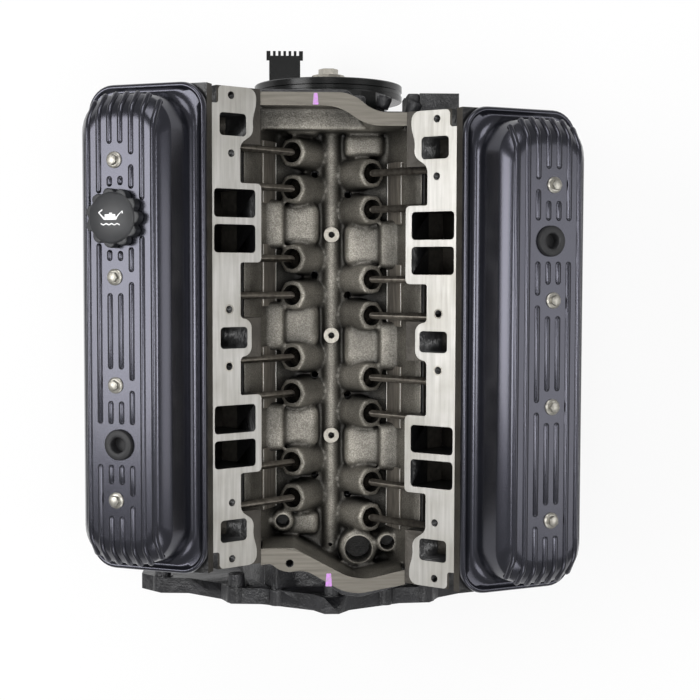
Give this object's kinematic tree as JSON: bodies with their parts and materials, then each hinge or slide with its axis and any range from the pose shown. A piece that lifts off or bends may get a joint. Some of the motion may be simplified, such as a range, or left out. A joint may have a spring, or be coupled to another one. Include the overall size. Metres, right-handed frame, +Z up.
{
  "type": "v8 engine long block",
  "caption": "V-shaped engine long block with open lifter valley, ribbed valve covers, ported heads, front damper, oil pan and turning crank train.",
  "frame": {"origin": "on the crankshaft's axis, on the rear face of its flywheel flange", "axes": "+Z up, +Y towards the engine's rear (flywheel end), +X towards the driver's-side bank"},
  "size_m": [0.5124, 0.671, 0.5427],
  "materials": {
    "block_iron": "rough cast, machined joint faces",
    "head_iron": "cast with machined faces",
    "cover_paint": "satin black",
    "black_paint": "semi-gloss black",
    "zinc_steel": "zinc plated",
    "plain_steel": "ground",
    "aluminium": "machined",
    "black_plastic": "matte",
    "black_rubber": "matte",
    "gasket_sheet": "matte"
  },
  "bodies": {
    "long_block": {"cylinder_block": "block_iron", "main_bearing_caps": "block_iron", "cylinder_head_driver": "head_iron", "cylinder_head_passenger": "head_iron", "valve_cover_driver": "cover_paint", "valve_cover_passenger": "cover_paint", "cover_grommets": "black_rubber", "valve_cover_gaskets": "black_rubber", "head_gaskets": "plain_steel", "valve_cover_bolts": "zinc_steel", "rocker_studs": "plain_steel", "rocker_arms": "plain_steel", "pushrods": "plain_steel", "lifters": "plain_steel", "valves": "plain_steel", "valve_springs": "plain_steel", "timing_chain": "plain_steel", "timing_cover": "black_paint", "front_seal": "black_rubber", "timing_pointer": "zinc_steel", "rear_seal_housing": "aluminium", "rear_seal": "black_rubber", "oil_pan": "black_paint", "oil_pan_gasket": "gasket_sheet", "drain_plug": "zinc_steel", "oil_pump": "head_iron", "oil_pickup": "zinc_steel", "core_plugs": "zinc_steel"},
    "crank_assembly": {"crankshaft": "plain_steel", "crank_sprocket": "plain_steel", "damper_hub": "plain_steel", "damper_rubber": "black_rubber", "damper_ring": "black_paint", "crank_bolt": "plain_steel"},
    "cam_assembly": {"camshaft": "plain_steel", "cam_sprocket": "plain_steel"},
    "filler_cap": {"oil_fill_cap": "black_plastic"},
    "piston_1": {"piston_1": "aluminium"},
    "rod_1": {"rod_1": "plain_steel"},
    "piston_2": {"piston_2": "aluminium"},
    "rod_2": {"rod_2": "plain_steel"},
    "piston_3": {"piston_3": "aluminium"},
    "rod_3": {"rod_3": "plain_steel"},
    "piston_4": {"piston_4": "aluminium"},
    "rod_4": {"rod_4": "plain_steel"},
    "piston_5": {"piston_5": "aluminium"},
    "rod_5": {"rod_5": "plain_steel"},
    "piston_6": {"piston_6": "aluminium"},
    "rod_6": {"rod_6": "plain_steel"},
    "piston_7": {"piston_7": "aluminium"},
    "rod_7": {"rod_7": "plain_steel"},
    "piston_8": {"piston_8": "aluminium"},
    "rod_8": {"rod_8": "plain_steel"}
  },
  "joints": [
    {"name": "crank_turn", "type": "hinge", "parent": "long_block", "child": "crank_assembly", "pos_m": [0, 0, 0], "axis": [0, 1, 0], "range_deg": [-15, 15]},
    {"name": "cam_turn", "type": "hinge", "parent": "long_block", "child": "cam_assembly", "pos_m": [0, 0, 0.1148], "axis": [0, 1, 0], "range_deg": [-8, 8]},
    {"name": "cap_turn", "type": "hinge", "parent": "long_block", "child": "filler_cap", "pos_m": [0.21523, -0.43894, 0.3245], "axis": [0.3746, 0, 0.9272], "range_deg": [0, 90]},
    {"name": "piston_1_slide", "type": "slide", "parent": "long_block", "child": "piston_1", "axis": [0.7071, 0, 0.7071], "range_m": [-0.0104, 0.0104]},
    {"name": "rod_1_swing", "type": "hinge", "parent": "crank_assembly", "child": "rod_1", "pos_m": [0, -0.49482, 0.0442], "axis": [0, 1, 0], "range_deg": [-18.7, 18.7]},
    {"name": "piston_2_slide", "type": "slide", "parent": "long_block", "child": "piston_2", "axis": [-0.7071, 0, 0.7071], "range_m": [-0.0104, 0.0104]},
    {"name": "rod_2_swing", "type": "hinge", "parent": "crank_assembly", "child": "rod_2", "pos_m": [0, -0.47246, 0.0442], "axis": [0, 1, 0], "range_deg": [-18.7, 18.7]},
    {"name": "piston_3_slide", "type": "slide", "parent": "long_block", "child": "piston_3", "axis": [0.7071, 0, 0.7071], "range_m": [-0.0104, 0.0104]},
    {"name": "rod_3_swing", "type": "hinge", "parent": "crank_assembly", "child": "rod_3", "pos_m": [0.0442, -0.38306, 0], "axis": [0, 1, 0], "range_deg": [-18.7, 18.7]},
    {"name": "piston_4_slide", "type": "slide", "parent": "long_block", "child": "piston_4", "axis": [-0.7071, 0, 0.7071], "range_m": [-0.0068, 0.0068]},
    {"name": "rod_4_swing", "type": "hinge", "parent": "crank_assembly", "child": "rod_4", "pos_m": [0.0442, -0.3607, 0], "axis": [0, 1, 0], "range_deg": [-12.1, 12.1]},
    {"name": "piston_5_slide", "type": "slide", "parent": "long_block", "child": "piston_5", "axis": [0.7071, 0, 0.7071], "range_m": [-0.0068, 0.0068]},
    {"name": "rod_5_swing", "type": "hinge", "parent": "crank_assembly", "child": "rod_5", "pos_m": [-0.0442, -0.2713, 0], "axis": [0, 1, 0], "range_deg": [-12.1, 12.1]},
    {"name": "piston_6_slide", "type": "slide", "parent": "long_block", "child": "piston_6", "axis": [-0.7071, 0, 0.7071], "range_m": [-0.0104, 0.0104]},
    {"name": "rod_6_swing", "type": "hinge", "parent": "crank_assembly", "child": "rod_6", "pos_m": [-0.0442, -0.24894, 0], "axis": [0, 1, 0], "range_deg": [-18.7, 18.7]},
    {"name": "piston_7_slide", "type": "slide", "parent": "long_block", "child": "piston_7", "axis": [0.7071, 0, 0.7071], "range_m": [-0.0068, 0.0068]},
    {"name": "rod_7_swing", "type": "hinge", "parent": "crank_assembly", "child": "rod_7", "pos_m": [0, -0.15954, -0.0442], "axis": [0, 1, 0], "range_deg": [-12.1, 12.1]},
    {"name": "piston_8_slide", "type": "slide", "parent": "long_block", "child": "piston_8", "axis": [-0.7071, 0, 0.7071], "range_m": [-0.0068, 0.0068]},
    {"name": "rod_8_swing", "type": "hinge", "parent": "crank_assembly", "child": "rod_8", "pos_m": [0, -0.13718, -0.0442], "axis": [0, 1, 0], "range_deg": [-12.1, 12.1]}
  ],
  "couplings": [
    {"joint": "cam_turn", "follows": "crank_turn", "ratio": 0.5},
    {"joint": "piston_1_slide", "follows": "crank_turn", "m_per_rad": 0.038163},
    {"joint": "rod_1_swing", "follows": "crank_turn", "ratio": -1.221},
    {"joint": "piston_2_slide", "follows": "crank_turn", "m_per_rad": -0.038163},
    {"joint": "rod_2_swing", "follows": "crank_turn", "ratio": -1.221},
    {"joint": "piston_3_slide", "follows": "crank_turn", "m_per_rad": -0.038163},
    {"joint": "rod_3_swing", "follows": "crank_turn", "ratio": -1.221},
    {"joint": "piston_4_slide", "follows": "crank_turn", "m_per_rad": -0.024345},
    {"joint": "rod_4_swing", "follows": "crank_turn", "ratio": -0.77895},
    {"joint": "piston_5_slide", "follows": "crank_turn", "m_per_rad": 0.024345},
    {"joint": "rod_5_swing", "follows": "crank_turn", "ratio": -0.77895},
    {"joint": "piston_6_slide", "follows": "crank_turn", "m_per_rad": 0.038163},
    {"joint": "rod_6_swing", "follows": "crank_turn", "ratio": -1.221},
    {"joint": "piston_7_slide", "follows": "crank_turn", "m_per_rad": -0.024345},
    {"joint": "rod_7_swing", "follows": "crank_turn", "ratio": -0.77895},
    {"joint": "piston_8_slide", "follows": "crank_turn", "m_per_rad": 0.024345},
    {"joint": "rod_8_swing", "follows": "crank_turn", "ratio": -0.77895}
  ]
}
